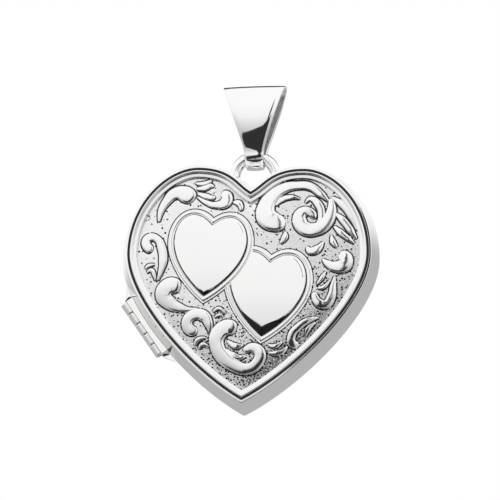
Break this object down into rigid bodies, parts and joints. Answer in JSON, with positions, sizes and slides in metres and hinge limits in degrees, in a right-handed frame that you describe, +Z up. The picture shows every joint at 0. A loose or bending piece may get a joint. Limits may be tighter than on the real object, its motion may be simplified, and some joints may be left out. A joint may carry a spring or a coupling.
{
  "type": "heart locket",
  "caption": "Hinged heart-shaped locket with an embossed front of scrolls and raised hearts, opening on picture holders, hung by a soldered loop from a tapered bail.",
  "frame": {"origin": "the inside of the bail's top fold, where the chain carries it, in the middle of the strap and of the loop's wire", "axes": "+Z up along the hanging pendant, +Y from the front to the back, +X to the right as the front is looked at"},
  "size_m": [0.0197, 0.0044, 0.026],
  "materials": {
    "polished_silver": "mirror-polished rhodium-bright sterling silver",
    "embossed_silver": "die-struck sterling silver: polished raised hearts and scrolls on a finely stippled ground",
    "satin_silver": "fine satin sterling silver inside the locket",
    "picture_card": "plain cream picture card",
    "clear_acetate": "clear cellulose acetate sheet"
  },
  "bodies": {
    "bail": {"bail": "polished_silver"},
    "back_half": {"back_bezel": "polished_silver", "back_panel": "polished_silver", "back_photo_card": "picture_card", "back_photo_window": "clear_acetate", "back_photo_frame": "satin_silver", "closing_rim": "satin_silver", "back_hinge_leaf": "polished_silver", "hinge_pin": "satin_silver", "hinge_knuckle_1": "polished_silver", "hinge_knuckle_3": "polished_silver", "hinge_knuckle_5": "polished_silver", "pendant_loop": "polished_silver"},
    "front_half": {"front_bezel": "polished_silver", "front_panel": "embossed_silver", "front_photo_card": "picture_card", "front_photo_window": "clear_acetate", "front_photo_frame": "satin_silver", "catch_ledge": "satin_silver", "front_hinge_leaf": "polished_silver", "hinge_knuckle_2": "polished_silver", "hinge_knuckle_4": "polished_silver"},
    "catch": {"catch_tongue": "satin_silver"}
  },
  "joints": [
    {"name": "bail_swing", "type": "hinge", "parent": "bail", "child": "back_half", "pos_m": [0, 0, -0.00532], "axis": [1, 0, 0], "range_deg": [-90, 90]},
    {"name": "cover_hinge", "type": "hinge", "parent": "back_half", "child": "front_half", "pos_m": [-0.00852, -0.0005, -0.01876], "axis": [0.5519, 0, -0.8339], "range_deg": [0, 180]},
    {"name": "catch_flex", "type": "hinge", "parent": "back_half", "child": "catch", "pos_m": [0.00761, 0.0005, -0.00948], "axis": [0.5519, 0, -0.8339], "range_deg": [0, 4], "stiffness_Nm_per_rad": 0.005}
  ]
}
